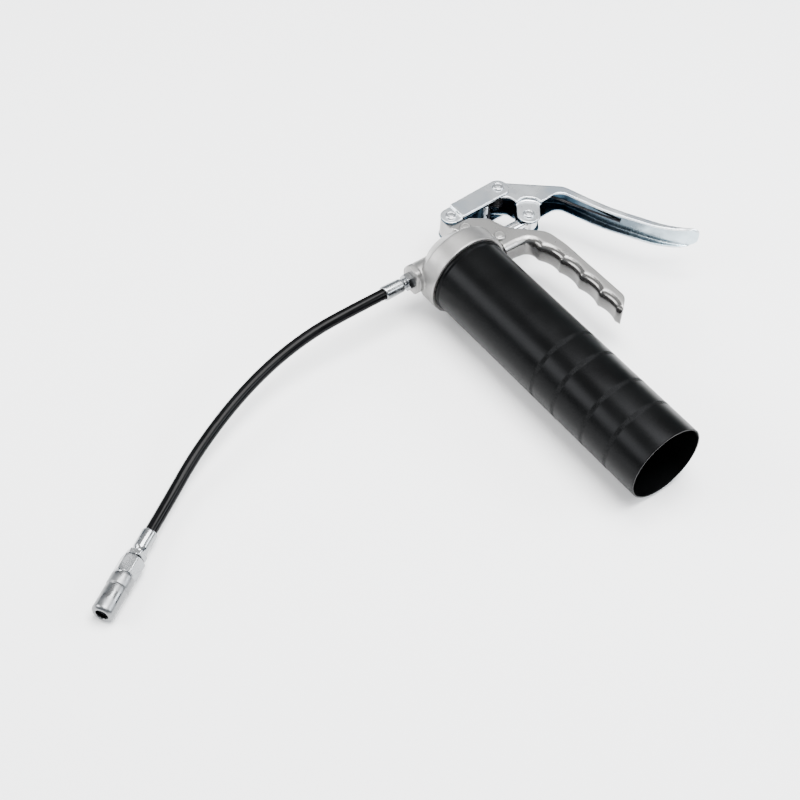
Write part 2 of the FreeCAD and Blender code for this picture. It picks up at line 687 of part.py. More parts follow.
def build_hose_ends():
    adapter = turned("hose_adapter", [
        ("0 - chamber_low", "passage_radius"),
        ("0 - chamber_low", "port_radius - 0.05"),
        ("flange_face + 1", "port_radius - 0.05"),
        ("flange_face + 1", "passage_radius"),
    ], against_y(PUMP_X))
    hexagon(adapter, "adapter_hex", "adapter_flats", "flange_face", "adapter_hex_length")
    bored(adapter, "adapter_bore", "passage_radius", "flange_face", "adapter_hex_length + 1")
    node(adapter, "hose_adapter")
    start = "flange_face + adapter_hex_length"
    node(crimped("near_ferrule", start, "ferrule_length", against_y(PUMP_X)), "near_ferrule")


def crimped(name, start, length, place):
    """Crimped ferrule with two rolled grooves."""
    return turned(name, [
        (start, "passage_radius"),
        (start, "ferrule_radius - 0.4"),
        (f"{start} + 0.4", "ferrule_radius"),
        (f"{start} + 4", "ferrule_radius"),
        (f"{start} + 4.5", "ferrule_radius - 0.4"),
        (f"{start} + 6.5", "ferrule_radius - 0.4"),
        (f"{start} + 7", "ferrule_radius"),
        (f"{start} + 10", "ferrule_radius"),
        (f"{start} + 10.5", "ferrule_radius - 0.4"),
        (f"{start} + 12.5", "ferrule_radius - 0.4"),
        (f"{start} + 13", "ferrule_radius"),
        (f"{start} + {length} - 0.4", "ferrule_radius"),
        (f"{start} + {length}", "ferrule_radius - 0.4"),
        (f"{start} + {length}", "passage_radius"),
    ], place)


def build_hose():
    """Hose swept along straight runs joined by tangent arcs."""
    edges, last = [], vector(*HOSE_ROUTE[0])
    for before, corner, after in zip(HOSE_ROUTE, HOSE_ROUTE[1:], HOSE_ROUTE[2:]):
        here = vector(*corner)
        back, ahead = vector(*before) - here, vector(*after) - here
        run = min(back.Length, ahead.Length)
        back.normalize()
        ahead.normalize()
        half_turn = (math.pi - back.getAngle(ahead)) / 2
        radius = 0.45 * run / math.tan(half_turn)
        middle = back + ahead
        middle.normalize()
        start, end = here + back * 0.45 * run, here + ahead * 0.45 * run
        bulge = here + middle * (radius / math.cos(half_turn) - radius)
        print(f"hose bend radius {radius:.1f}")
        edges += [Part.LineSegment(last, start).toShape(), Part.Arc(start, bulge, end).toShape()]
        last = end
    edges.append(Part.LineSegment(last, vector(*HOSE_ROUTE[-1])).toShape())
    route = Part.Wire(edges)
    section = Part.makeCircle(size["hose_radius"], vector(*HOSE_ROUTE[0]), vector(0, -1, 0))
    hose = route.makePipeShell([Part.Wire(section)], True, False)
    expected = math.pi * size["hose_radius"] ** 2 * route.Length
    print(f"hose length {route.Length:.2f}, volume {hose.Volume:.1f}, expected {expected:.1f}")
    if abs(hose.Volume / expected - 1) > 0.01:
        raise RuntimeError("the hose sweep is not a plain tube")
    item = doc.addObject("Part::Feature", "hose")
    item.Shape = hose
    node(item, "hose")


def build_coupler():
    (x, y, _), end = HOSE_ROUTE[-2], HOSE_ROUTE[-1]
    heading = math.degrees(math.atan2(end[1] - y, end[0] - x))
    place = FreeCAD.Placement(vector(*end), FreeCAD.Rotation(vector(0, 0, 1), heading))

    ferrule = "ferrule_length - 1"
    far = crimped("far_ferrule", "0", ferrule, place)
    hexagon(far, "collar_hex", "collar_nut_flats", ferrule, "collar_nut_length")
    bored(far, "collar_bore", "passage_radius", ferrule, "collar_nut_length + 1")
    node(far, "far_ferrule")

    start = "ferrule_length - 1 + collar_nut_length"
    seat = f"{start} + coupler_hex_length"
    body = turned("coupler_body", [
        (f"{start} + 1", "passage_radius"),
        (f"{start} + 1", "sleeve_bore - 0.1"),
        (f"{seat} + 6", "sleeve_bore - 0.1"),
        (f"{seat} + 6", "passage_radius"),
    ], place)
    hexagon(body, "coupler_hex", "coupler_flats", start, "coupler_hex_length")
    bored(body, "coupler_bore", "passage_radius", start, "coupler_hex_length + 1")
    node(body, "coupler_body")

    front = f"{seat} + sleeve_ring_length + sleeve_body_length"
    node(turned("coupler_sleeve", [
        (seat, "sleeve_bore"),
        (seat, "sleeve_ring_radius - 0.6"),
        (f"{seat} + 0.6", "sleeve_ring_radius"),
        (f"{seat} + sleeve_ring_length - 0.5", "sleeve_ring_radius"),
        (f"{seat} + sleeve_ring_length", "sleeve_body_radius"),
        (f"{front} - 2", "sleeve_body_radius"),
        (front, "sleeve_body_radius - 1.6"),
        (front, "mouth_radius"),
        (f"{front} - mouth_length", "mouth_radius"),
        (f"{front} - mouth_length", "sleeve_bore"),
    ], place), "coupler_sleeve")

    face = f"{front} - mouth_length"
    jaws = turned("coupler_jaws", [
        (f"{face} - 10.5", "jaw_bore"),
        (f"{face} - 10.5", "jaw_radius"),
        (f"{face} - 0.1", "jaw_radius"),
        (f"{face} - 0.1", "jaw_bore"),
    ], place)
    for plane in ("XY_Plane", "XZ_Plane"):
        slit = sketch_in(jaws, f"slit_{plane[:2]}", plane)
        low, high = amount(f"{face} - 8.5"), amount(f"{face} + 1")
        draw_outline(slit, [(low, -8, 0), (high, -8, 0), (high, 8, 0), (low, 8, 0)])
        cut(jaws, slit, f"slit_{plane[:2]}_cut", "1")
    node(jaws, "coupler_jaws")

    node(turned("coupler_seal", [
        (f"{face} - 13", "passage_radius"),
        (f"{face} - 13", "jaw_radius"),
        (f"{face} - 10.5", "jaw_radius"),
        (f"{face} - 10.5", "passage_radius"),
    ], place), "coupler_seal")
    wire = 0.45
    spring = doc.addObject("Part::Feature", "coupler_spring")
    spring.Shape = coil(4.2, wire, amount(f"{seat} + 6") + wire, amount(f"{face} - 13") - wire, 3)
    spring.Placement = place.multiply(FreeCAD.Placement(vector(), FreeCAD.Rotation(vector(0, 1, 0), 90)))
    node(spring, "coupler_spring")


# ---------------------------------------------------------------- shared places

FINGER_HOLLOWS = [
    (85.6, 59.4, 2), (77.0, 63.2, 22), (67.9, 59.2, 2.5), (58.1, 63.0, 22), (48.5, 58.8, 2.5),
    (38.8, 62.6, 22), (29.4, 58.0, 2.5), (21.5, 60.2, 18), (12.0, 53.4, 2.5),
]
PEG = (-43.5, 50.4)
LEVER_TOP = [(-61.1, 63.3), (-25.5, 108.4), (8.0, 120.5), (48.0, 143.9), (62.2, 160.6)]
EAR_ALONG = (0.79, -0.6131)
EAR_ACROSS = (0.6131, 0.79)
EAR_BACK = 14.6
EAR_WIDE = 10.4
EAR_NARROW = 8.9
EAR_ROUND = 8.4
LONG_LEG_ANGLE = 142.4
SHORT_LEG_ANGLE = 228.3
BALL_Y = -17.27
BANDS = (99, 120, 148, 171)
HOSE_ROUTE = [
    (PUMP_X, -59.0, 0.0), (PUMP_X, -87.0, 0.0), (-18.9, -120.0, -2.5), (-13.5, -157.0, -6.5),
    (-2.0, -195.0, -11.5), (14.5, -233.0, -17.5), (30.36, -261.4, -23.9), (45.2, -285.1, -23.9),
]

build_head()
build_grip()
build_rivets()
build_barrel()
build_link()
build_pins()
build_lever()
build_piston()
build_return_spring()
build_pump()
build_hose_ends()
build_hose()
build_coupler()
doc.recompute()

for item in doc.Objects:
    if "Invalid" in item.State or "Error" in item.State:
        raise RuntimeError(f"{item.Label} does not recompute: {item.State}")

os.makedirs("parts", exist_ok=True)
for item in NODES:
    shape = item.Shape
    if shape.isNull() or not shape.isValid() or not shape.Solids:
        raise RuntimeError(f"{item.Label} has no valid solid")
    shape.exportStep(f"parts/{item.Label}.step")
    box = shape.BoundBox
    print(f"{item.Label}: {len(shape.Solids)} solid, X {box.XMin:.1f}..{box.XMax:.1f}, "
          f"Y {box.YMin:.1f}..{box.YMax:.1f}, Z {box.ZMin:.1f}..{box.ZMax:.1f}")
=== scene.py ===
import json
import math

import bmesh
import bpy
import numpy as np
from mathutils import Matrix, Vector


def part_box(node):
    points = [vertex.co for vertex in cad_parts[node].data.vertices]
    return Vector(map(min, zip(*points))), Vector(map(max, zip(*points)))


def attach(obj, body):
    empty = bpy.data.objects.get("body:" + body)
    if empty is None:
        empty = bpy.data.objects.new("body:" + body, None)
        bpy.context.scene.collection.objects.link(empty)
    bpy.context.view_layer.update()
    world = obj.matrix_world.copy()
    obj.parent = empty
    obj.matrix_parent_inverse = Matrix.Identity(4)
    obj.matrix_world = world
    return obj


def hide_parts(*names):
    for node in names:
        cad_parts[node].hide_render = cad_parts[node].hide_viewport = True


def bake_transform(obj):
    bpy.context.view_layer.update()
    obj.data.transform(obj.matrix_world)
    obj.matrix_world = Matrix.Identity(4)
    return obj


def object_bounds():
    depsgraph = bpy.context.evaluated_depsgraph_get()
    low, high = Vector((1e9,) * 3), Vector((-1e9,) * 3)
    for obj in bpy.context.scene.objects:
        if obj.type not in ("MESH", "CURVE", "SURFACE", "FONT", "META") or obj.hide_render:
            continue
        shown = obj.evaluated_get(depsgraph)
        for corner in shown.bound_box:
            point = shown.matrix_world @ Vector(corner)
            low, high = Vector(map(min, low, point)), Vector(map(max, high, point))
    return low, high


bl_info = {
    "name": "Grease gun",
    "version": (1, 0, 0),
    "blender": (4, 5, 0),
    "location": "3D View > Sidebar > Grease gun",
    "description": "Builds the grease gun's finished pieces over its fixed CAD frame",
    "category": "Object",
}

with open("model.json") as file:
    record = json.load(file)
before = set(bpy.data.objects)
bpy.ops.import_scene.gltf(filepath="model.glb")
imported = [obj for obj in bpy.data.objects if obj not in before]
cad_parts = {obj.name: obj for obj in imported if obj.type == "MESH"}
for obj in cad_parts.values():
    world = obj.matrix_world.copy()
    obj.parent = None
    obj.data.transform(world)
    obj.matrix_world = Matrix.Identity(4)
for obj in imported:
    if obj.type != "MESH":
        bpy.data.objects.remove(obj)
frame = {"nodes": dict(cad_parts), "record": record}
CAD_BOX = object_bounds()

# Places that the pieces share, read from the frame.
PUMP_X = sum(corner[0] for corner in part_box("piston_rod")) / 2
FLOOR_Z = CAD_BOX[0][2]


def middle_of(node):
    """Middle of a CAD node's box."""
    low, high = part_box(node)
    return (Vector(low) + Vector(high)) / 2


FULCRUM = middle_of("fulcrum_pin")


# ---------------------------------------------------------------- settings


def colour_setting(name, description, value):
    """Colour that a user may change."""
    return bpy.props.FloatVectorProperty(
        name=name, description=description, subtype="COLOR", size=3, min=0.0, max=1.0,
        default=value)


def length_setting(name, description, value):
    """Length in metres that a user may change."""
    return bpy.props.FloatProperty(
        name=name, description=description, unit="LENGTH", precision=4, min=0.0, default=value)


def count_setting(name, description, value, least, most):
    """Whole number that a user may change."""
    return bpy.props.IntProperty(
        name=name, description=description, min=least, max=most, default=value)


def power_setting(name, description, value):
    """Power of a lamp in watts that a user may change."""
    return bpy.props.FloatProperty(
        name=name, description=description, unit="POWER", min=0.0, default=value)


class FinishSettings(bpy.types.PropertyGroup):
    """Base colours of the finishes."""

    casting: colour_setting("Casting", "Shot-blasted light alloy", (0.262, 0.258, 0.252))
    paint: colour_setting("Paint", "Barrel paint", (0.0010, 0.0011, 0.0011))
    zinc: colour_setting("Zinc", "Bright zinc plate on the pressings", (0.68, 0.71, 0.73))
    # These two colours are painted shade and painted reflection on the pressings' inner sides:
    # dark by the pivots, paler by the lever's thumb end.
    painted_shade_dark: colour_setting(
        "Deep zinc", "Inner side of the pressings by the pivots", (0.030, 0.058, 0.085))
    painted_shade_pale: colour_setting(
        "Open zinc", "Inner side of the lever by its thumb end", (0.50, 0.60, 0.66))
    fitting: colour_setting("Fittings", "Plated turned fittings", (0.31, 0.32, 0.33))
    sleeve: colour_setting("Sleeve", "Sleeve of the coupler", (0.20, 0.205, 0.21))
    chrome: colour_setting("Chrome", "Hard chrome", (0.66, 0.67, 0.69))
    steel: colour_setting("Steel", "Ground steel", (0.52, 0.52, 0.54))
    brass: colour_setting("Brass", "Seat of the check valve", (0.72, 0.52, 0.25))
    seal: colour_setting("Seals", "Rubber of the seals", (0.012, 0.012, 0.012))
    hose: colour_setting("Hose", "Hose cover", (0.0015, 0.0015, 0.0017))
    spring: colour_setting("Spring", "Blackened spring wire", (0.012, 0.012, 0.014))
    floor: colour_setting("Floor", "Studio floor", (0.95, 0.95, 0.95))


class CastingSettings(bpy.types.PropertyGroup):
    """How the castings are softened."""

    head_grain: length_setting("Head grain", "Size of the head's surface cells", 0.00050)
    grip_grain: length_setting("Grip grain", "Size of the grip's surface cells", 0.00042)
    rounding: count_setting("Rounding", "Passes that soften the castings' edges", 8, 1, 40)
    finger_rounding: count_setting(
        "Finger rounding", "More passes on the grip's finger side", 30, 0, 200)
    finger_bend: length_setting("Finger bend", "Radius along the grip's finger side", 0.0055)


class PressingSettings(bpy.types.PropertyGroup):
    """The sheet of the lever and the link."""

    grain: length_setting("Grain", "Size of the surface cells", 0.00040)
    bend: length_setting("Bend", "Outside radius of the folded edge", 0.0030)
    rounding: count_setting("Rounding", "Passes that soften the sheared edges", 5, 1, 40)


class SpringSettings(bpy.types.PropertyGroup):
    """The return spring round the fulcrum pin."""

    coil_radius: length_setting("Coil radius", "Middle radius of the coil", 0.0044)
    coil_half: length_setting("Coil half width", "Half the coil's width along the pin", 0.0048)
    wire_radius: length_setting("Wire radius", "Radius of the wire", 0.00085)
    turns: count_setting("Turns", "Full turns of the coil", 5, 1, 12)


class BarrelSettings(bpy.types.PropertyGroup):
    """The barrel and its knurled bands."""

    radius: length_setting("Radius", "Outside radius of the tube", 0.0285)
    wall: length_setting("Wall", "Wall of the tube", 0.0012)
    knurls: count_setting("Knurls", "Knurls round each band", 110, 40, 240)
    knurl_depth: length_setting("Knurl depth", "Depth of the knurls", 0.00013)


class HoseSettings(bpy.types.PropertyGroup):
    """The hose between its two ferrules."""

    diameter: length_setting("Diameter", "Outside diameter of the hose", 0.008)
    length: length_setting("Length", "Length of hose between the ferrules", 0.2414)


class StageSettings(bpy.types.PropertyGroup):
    """Lens and lamps."""

    lens: bpy.props.FloatProperty(
        name="Lens", description="Focal length of the camera", unit="CAMERA", min=10.0,
        default=76.96)
    key: power_setting("Key lamp", "Lamp on the side of the hose", 26.0)
    overhead: power_setting("Overhead lamp", "Wide lamp above the gun", 100.0)
    rim: power_setting("Rim lamp", "Lamp on the side of the lever", 16.0)


# ---------------------------------------------------------------- mesh tools

SHARP_ANGLE = math.radians(32)  # edges sharper than this stay sharp
ON_AXIS = 1e-7  # a profile point closer to the axis than this is on it


def link_mesh(name, verts, faces, finish):
    """New smooth-shaded mesh object in the scene."""
    mesh = bpy.data.meshes.new(name)
    mesh.from_pydata([tuple(vert) for vert in verts], [], faces)
    mesh.validate()
    piece = bpy.data.objects.new(name, mesh)
    bpy.context.scene.collection.objects.link(piece)
    piece.data.materials.append(finish)
    shade(piece)
    return piece


def shade(piece):
    """Smooth shading that keeps the sharp edges."""
    work = bmesh.new()
    work.from_mesh(piece.data)
    bmesh.ops.recalc_face_normals(work, faces=work.faces)
    for face in work.faces:
        face.smooth = True
    for edge in work.edges:
        edge.smooth = len(edge.link_faces) == 2 and edge.calc_face_angle(0.0) < SHARP_ANGLE
    work.to_mesh(piece.data)
    work.free()


def softened(profile, radius, steps=3):
    """Open profile of (along, radius) points with its inner corners rounded."""
    result = [profile[0]]
    for before, here, after in zip(profile, profile[1:], profile[2:]):
        point = Vector(here)
        back, ahead = Vector(before) - point, Vector(after) - point
        most = 0.45  # of each side, so that two corners never meet
        reach = min(radius, back.length * most, ahead.length * most)
        start, end = point + back.normalized() * reach, point + ahead.normalized() * reach
        for step in range(steps + 1):
            share = step / steps
            spot = start * (1 - share) ** 2 + point * 2 * share * (1 - share) + end * share ** 2
            result.append((spot.x, spot.y))
    return result + [profile[-1]]


def lathe(name, profile, origin, heading, finish, segments=96, shape=None, soft=0.0003):
    """Body of revolution along the heading from a profile of (along, radius) points.

    The profile runs from axis to axis, or ends where it starts. Its corners are rounded to soft.
    shape(angle, along, radius) may change the radius round the turn."""
    closed = profile[0] == profile[-1]
    rows = softened(profile, soft) if soft else list(profile)
    if closed:
        rows = rows[:-1]
    turn = Vector(heading).normalized().to_track_quat("X", "Z")
    verts, faces, rings = [], [], []
    for along, radius in rows:
        if radius < ON_AXIS:
            rings.append([len(verts)])
            verts.append(Vector(origin) + turn @ Vector((along, 0, 0)))
            continue
        rings.append(list(range(len(verts), len(verts) + segments)))
        for step in range(segments):
            angle = 2 * math.pi * step / segments
            reach = shape(angle, along, radius) if shape else radius
            spot = Vector((along, reach * math.cos(angle), reach * math.sin(angle)))
            verts.append(Vector(origin) + turn @ spot)
    pairs = list(zip(rings, rings[1:]))
    if closed:
        pairs.append((rings[-1], rings[0]))
    for one, two in pairs:
        for step in range(segments):
            following = (step + 1) % segments
            if len(one) == 1 and len(two) == 1:
                continue
            if len(one) == 1:
                faces.append((one[0], two[step], two[following]))
            elif len(two) == 1:
                faces.append((one[step], two[0], one[following]))
            else:
                faces.append((one[step], two[step], two[following], one[following]))
    return link_mesh(name, verts, faces, finish)


def hexagonal(flats, start, end):
    """Shape for lathe that cuts a hexagon across flats between two places along the axis."""
    def cut(angle, along, radius):
        if not start <= along <= end:
            return radius
        return min(radius, flats / 2 / math.cos(angle % (math.pi / 3) - math.pi / 6))
    return cut


def baked(piece):
    """Applies the piece's modifiers to its mesh."""
    graph = bpy.context.evaluated_depsgraph_get()
    ready = bpy.data.meshes.new_from_object(piece.evaluated_get(graph))
    piece.modifiers.clear()
    piece.data = ready


def relax(piece, passes, share=None):
    """Smooths the mesh; share(x, y, z) may say how strongly, from 0 to 1 at each vertex."""
    smooth = piece.modifiers.new("soften", "SMOOTH")
    smooth.factor = 0.5
    smooth.iterations = passes
    if share:
        group = piece.vertex_groups.new(name="soft")
        weights = share(*places(piece.data.vertices, "co").T)
        levels = 10
        for level in range(1, levels + 1):
            chosen = np.nonzero(np.round(weights * levels) == level)[0]
            group.add(chosen.tolist(), level / levels, "REPLACE")
        smooth.vertex_group = "soft"
    baked(piece)
    piece.vertex_groups.clear()


def places(items, kind):
    """Vectors of the mesh's vertices or polygons as one array."""
    values = np.empty(len(items) * 3)
    items.foreach_get(kind, values)
    return values.reshape(-1, 3)


def recast(node, name, cell, passes, finish):
    """Copy of a CAD node's solid as an even skin of small cells, its edges softened."""
    mesh = frame["nodes"][node].data.copy()
    same_place = 1e-6
    work = bmesh.new()
    work.from_mesh(mesh)
    bmesh.ops.remove_doubles(work, verts=work.verts, dist=same_place)
    work.to_mesh(mesh)
    work.free()
    piece = bpy.data.objects.new(name, mesh)
    bpy.context.scene.collection.objects.link(piece)
    cells = piece.modifiers.new("cells", "REMESH")
    cells.mode = "VOXEL"
    cells.voxel_size = cell
    relax(piece, passes)
    piece.data.materials.clear()
    piece.data.materials.append(finish)
    piece.data.polygons.foreach_set("use_smooth", [True] * len(piece.data.polygons))
    return piece


def line_gap(spots, line):
    """Depth of each spot to the right of a line of (x, y) points.

    Also gives the line's outward normal nearest to each spot."""
    flat = spots[:, :2]
    nearest = np.full(len(flat), np.inf)
    depth, outward = np.zeros(len(flat)), np.zeros((len(flat), 2))
    for start, end in zip(np.array(line), np.array(line)[1:]):
        run = end - start
        share = np.clip((flat - start) @ run / (run @ run), 0, 1)
        gap = flat - start - share[:, None] * run
        size = np.linalg.norm(gap, axis=1)
        normal = np.array((-run[1], run[0])) / np.linalg.norm(run)
        closer = size < nearest
        nearest[closer] = size[closer]
        depth[closer] = -(gap @ normal)[closer]
        outward[closer] = normal
    return depth, outward


def eased(line, radii, step=math.radians(5)):
    """Line of (x, y) points whose corners are arcs of the given radii."""
    result = [line[0]]
    for before, here, after, radius in zip(line, line[1:], line[2:], radii):
        corner = Vector(here)
        back = (Vector(before) - corner).normalized()
        ahead = (Vector(after) - corner).normalized()
        half = back.angle(ahead) / 2
        middle = corner + (back + ahead).normalized() * radius / math.sin(half)
        start = corner + back * radius / math.tan(half)
        end = corner + ahead * radius / math.tan(half)
        sweep = math.pi - 2 * half
        count = max(2, round(sweep / step))
        for place in range(count + 1):
            share = place / count
            arm = (start - middle).normalized().slerp((end - middle).normalized(), share)
            result.append(tuple(middle + arm * radius))
    return result + [line[-1]]


def wire(name, points, radius, finish, kind="POLY"):
    """Round wire along points: a plain one as a mesh, a NURBS one kept as a curve."""
    curve = bpy.data.curves.new(name, "CURVE")
    curve.dimensions = "3D"
    curve.bevel_depth = radius
    curve.bevel_resolution = 5
    curve.use_fill_caps = True
    spline = curve.splines.new(kind)
    spline.points.add(len(points) - 1)
    for point, spot in zip(spline.points, points):
        point.co = (*spot, 1.0)
    if kind == "NURBS":
        spline.order_u = 3
        spline.use_endpoint_u = True
        spline.resolution_u = 16
    curve.materials.append(finish)
    piece = bpy.data.objects.new(name, curve)
    if kind == "POLY":
        piece = bpy.data.objects.new(name, bpy.data.meshes.new_from_object(piece))
        piece.data.polygons.foreach_set("use_smooth", [True] * len(piece.data.polygons))
    bpy.context.scene.collection.objects.link(piece)
    return piece


def fold_edges(piece, line, half, bend):
    """Rolls over the two edges that lie along the line at half each side, to the bend's radius."""
    proud = 0.0006  # how far the piece may stand outside the line
    spots = places(piece.data.vertices, "co")
    deep, outward = line_gap(spots, line)
    side = half - np.abs(spots[:, 2])
    away = np.stack((bend - side, bend - deep), axis=1)
    reach = np.linalg.norm(away, axis=1)
    folded = (away[:, 0] > 0) & (away[:, 1] > 0) & (deep > -proud) & (reach > bend)
    pull = away[folded] * (bend / reach[folded] - 1)[:, None]
    spots[folded, 2] += np.sign(spots[folded, 2]) * pull[:, 0]
    spots[folded, :2] += outward[folded] * pull[:, 1:]
    piece.data.vertices.foreach_set("co", spots.ravel())


def repaint(piece, chosen, finish):
    """Gives the faces that chosen(centres, normals) marks another finish."""
    piece.data.materials.append(finish)
    faces = piece.data.polygons
    marked = chosen(places(faces, "center"), places(faces, "normal"))
    faces.foreach_set("material_index", marked.astype(np.int32))


# ---------------------------------------------------------------- finishes


def new_finish(name, colour, metallic, roughness, **sockets):
    """Material with these values on its shader: the material, its node tree and the shader."""
    finish = bpy.data.materials.new(name)
    finish.use_nodes = True
    tree = finish.node_tree
    shader = tree.nodes["Principled BSDF"]
    shader.inputs["Base Color"].default_value = (*colour, 1)
    shader.inputs["Metallic"].default_value = metallic
    shader.inputs["Roughness"].default_value = roughness
    for socket, value in sockets.items():
        shader.inputs[socket.replace("_", " ")].default_value = value
    return finish, tree, shader


def grain(tree, scale, detail=3.0, stretch=(1, 1, 1), roughness=0.5):
    """Noise in the piece's own coordinates, drawn out along an axis if wanted."""
    place = tree.nodes.new("ShaderNodeTexCoord")
    spread = tree.nodes.new("ShaderNodeMapping")
    spread.inputs["Scale"].default_value = stretch
    noise = tree.nodes.new("ShaderNodeTexNoise")
    noise.inputs["Scale"].default_value = scale
    noise.inputs["Detail"].default_value = detail
    noise.inputs["Roughness"].default_value = roughness
    tree.links.new(place.outputs["Object"], spread.inputs["Vector"])
    tree.links.new(spread.outputs["Vector"], noise.inputs["Vector"])
    return noise.outputs["Fac"]


def between(tree, source, low, high, start=0.35, end=0.65):
    """The source spread from low to high."""
    spread = tree.nodes.new("ShaderNodeMapRange")
    spread.inputs["From Min"].default_value = start
    spread.inputs["From Max"].default_value = end
    spread.inputs["To Min"].default_value = low
    spread.inputs["To Max"].default_value = high
    tree.links.new(source, spread.inputs["Value"])
    return spread.outputs["Result"]


def tint(tree, shader, source, colours, places=(0.35, 0.65)):
    """Base colour that runs through the colours with the source."""
    ramp = tree.nodes.new("ShaderNodeValToRGB")
    while len(ramp.color_ramp.elements) < len(colours):
        ramp.color_ramp.elements.new(0.5)
    for element, place, colour in zip(ramp.color_ramp.elements, places, colours):
        element.position = place
        element.color = (*colour, 1)
    tree.links.new(source, ramp.inputs["Fac"])
    tree.links.new(ramp.outputs["Color"], shader.inputs["Base Color"])


def relief(tree, shader, source, strength, distance):
    """Bump on the shader."""
    bump = tree.nodes.new("ShaderNodeBump")
    bump.inputs["Strength"].default_value = strength
    bump.inputs["Distance"].default_value = distance
    tree.links.new(source, bump.inputs["Height"])
    previous = shader.inputs["Normal"].links
    if previous:
        tree.links.new(previous[0].from_socket, bump.inputs["Normal"])
    tree.links.new(bump.outputs["Normal"], shader.inputs["Normal"])


def scaled(colour, share):
    """Lighter or darker colour."""
    return tuple(min(1.0, channel * share) for channel in colour)


def cast_finish(name, colour, roughness):
    """Shot-blasted casting: fine pitted grain, faint stains and varied gloss."""
    finish, tree, shader = new_finish(name, colour, 0.9, roughness)
    stain = grain(tree, scale=55, detail=4)
    shades = (scaled(colour, 0.86), colour, scaled(colour, 1.08))
    tint(tree, shader, stain, shades, (0.32, 0.5, 0.7))
    gloss = between(tree, stain, roughness * 1.15, roughness * 0.85)
    tree.links.new(gloss, shader.inputs["Roughness"])
    relief(tree, shader, grain(tree, scale=2600, detail=2), strength=0.22, distance=0.00006)
    relief(tree, shader, grain(tree, scale=700, detail=3), strength=0.10, distance=0.00012)
    return finish


def painted_shade_finish(deep, pale_shade):
    """Painted shade and painted reflection on the inner side of the plated sheet: dark blue by the
    pivots, paler towards the thumb end.
    """
    darkest_shade_x, palest_shade_x = -0.010, 0.058  # along X, in metres
    finish, tree, shader = new_finish("zinc_painted_shade", deep, 1.0, 0.24)
    place = tree.nodes.new("ShaderNodeTexCoord")
    parts = tree.nodes.new("ShaderNodeSeparateXYZ")
    along = between(tree, parts.outputs["X"], 0.0, 1.0, darkest_shade_x, palest_shade_x)
    cloud = between(tree, grain(tree, scale=60, detail=4), -0.15, 0.15)
    mixed = tree.nodes.new("ShaderNodeMath")
    tree.links.new(place.outputs["Object"], parts.inputs["Vector"])
    tree.links.new(along, mixed.inputs[0])
    tree.links.new(cloud, mixed.inputs[1])
    middle = tuple((low + high) * 0.28 for low, high in zip(deep, pale_shade))
    tint(tree, shader, mixed.outputs["Value"], (deep, middle, pale_shade), (0.05, 0.5, 1.0))
    gloss = between(tree, grain(tree, scale=90, detail=4), 0.18, 0.32)
    tree.links.new(gloss, shader.inputs["Roughness"])
    drawn = grain(tree, scale=140, detail=3, stretch=(1, 5, 1))
    relief(tree, shader, drawn, strength=0.10, distance=0.0002)
    return finish


def paint_finish(colour):
    """Semi-gloss black paint with a slight orange peel."""
    finish, tree, shader = new_finish("black_paint", colour, 0.0, 0.30, Specular_IOR_Level=0.06)
    shader.inputs["Specular Tint"].default_value = (0.92, 0.94, 1.0, 1.0)
    mottle = grain(tree, scale=40, detail=5)
    tint(tree, shader, mottle, (colour, scaled(colour, 1.7)))
    tree.links.new(between(tree, mottle, 0.28, 0.33), shader.inputs["Roughness"])
    relief(tree, shader, grain(tree, scale=900, detail=2), strength=0.10, distance=0.00005)
    return finish


def zinc_finish(name, colour, roughness, stretch=(1, 1, 1)):
    """Bright zinc plate: clouded blue-white metal with fine rolling lines."""
    finish, tree, shader = new_finish(name, colour, 1.0, roughness)
    cloud = grain(tree, scale=45, detail=5)
    blue = (colour[0] * 0.86, colour[1] * 0.93, colour[2] * 1.02)
    tint(tree, shader, cloud, (blue, colour, scaled(colour, 1.05)), (0.30, 0.52, 0.72))
    gloss = between(tree, cloud, roughness * 0.8, roughness * 1.25)
    tree.links.new(gloss, shader.inputs["Roughness"])
    rolled = grain(tree, scale=500, detail=4, stretch=stretch, roughness=0.7)
    relief(tree, shader, rolled, strength=0.06, distance=0.00005)
    relief(tree, shader, grain(tree, scale=90, detail=2), strength=0.05, distance=0.0002)
    return finish


def bright_finish(name, colour, roughness):
    """Polished metal with faint turning marks and smears."""
    finish, tree, shader = new_finish(name, colour, 1.0, roughness)
    smear = grain(tree, scale=130, detail=4)
    tint(tree, shader, smear, (scaled(colour, 0.93), colour))
    gloss = between(tree, smear, roughness * 0.7, roughness * 1.5)
    tree.links.new(gloss, shader.inputs["Roughness"])
    relief(tree, shader, grain(tree, scale=1500, detail=2), strength=0.05, distance=0.00003)
    return finish


def rubber_finish(name, colour, roughness, coat):
    """Black rubber or plastic with dull patches."""
    finish, tree, shader = new_finish(name, colour, 0.0, roughness, Coat_Weight=coat,
                                      Coat_Roughness=0.12, Specular_IOR_Level=0.06)
    patch = grain(tree, scale=70, detail=4)
    tint(tree, shader, patch, (colour, scaled(colour, 1.9)))
    gloss = between(tree, patch, roughness * 0.8, roughness * 1.3)
    tree.links.new(gloss, shader.inputs["Roughness"])
    relief(tree, shader, grain(tree, scale=1300, detail=2), strength=0.08, distance=0.00005)
    return finish


# The finishes by name, filled in by the finishes operator.
FINISHES = {}

# Finish of each material slot in the record.
SLOT_FINISHES = {
    "cast_metal": "cast", "cast_rivet": "cast", "black_paint": "paint", "seal_rubber": "seal",
    "zinc_plate": "zinc", "zinc_pins": "pins", "zinc_fittings": "fitting",
    "coupler_chrome": "sleeve", "hard_chrome": "chrome", "ground_steel": "ground",
    "black_steel": "spring", "brass_seat": "brass", "hose_rubber": "hose",
}


